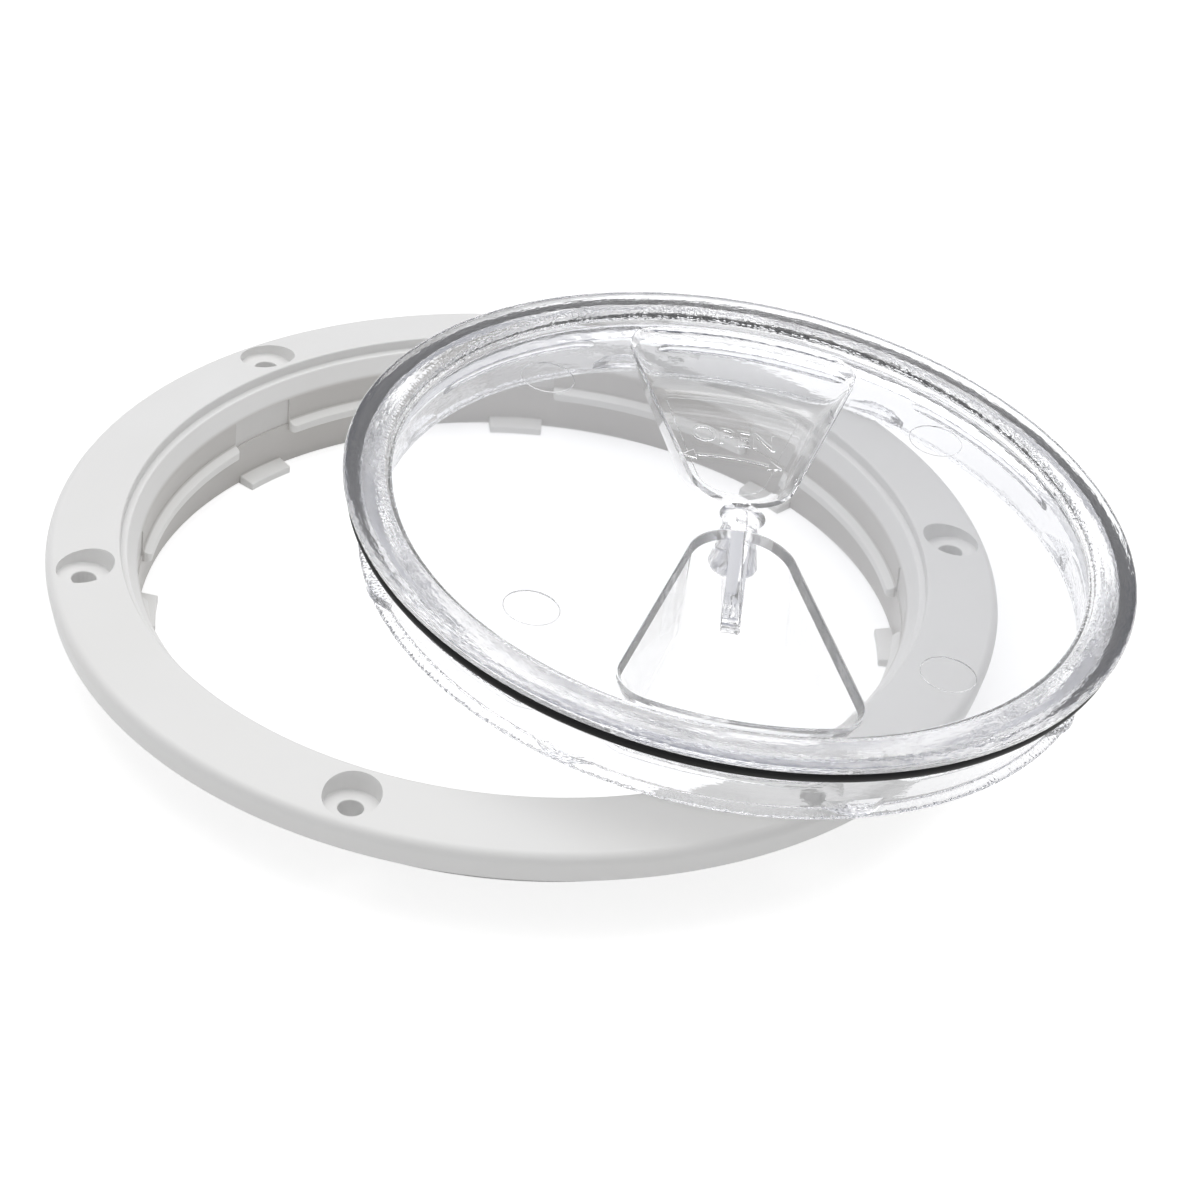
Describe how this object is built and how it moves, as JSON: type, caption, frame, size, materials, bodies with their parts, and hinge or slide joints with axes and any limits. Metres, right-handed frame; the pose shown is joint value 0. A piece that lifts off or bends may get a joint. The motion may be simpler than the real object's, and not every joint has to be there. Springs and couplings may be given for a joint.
{
  "type": "deck inspection plate",
  "caption": "Round hatch for a boat's deck: white screw-down ring and a clear turn-to-lock lid with finger wells and seal, shown lifted off and leaning.",
  "frame": {"origin": "on the ring's axis, level with the flange's underside, which is the face that sits on the deck", "axes": "+Z along the ring's axis, up out of the deck; +X towards the side that the lifted lid leans to; +Y away from the viewer"},
  "size_m": [0.2348, 0.2066, 0.0495],
  "materials": {
    "ring_plastic": "white satin moulded plastic",
    "lid_plastic": "clear polished plastic",
    "seal_rubber": "black rubber"
  },
  "bodies": {
    "root": {"flange_ring": "ring_plastic", "clear_lid": "lid_plastic", "o_ring": "seal_rubber"}
  },
  "joints": []
}
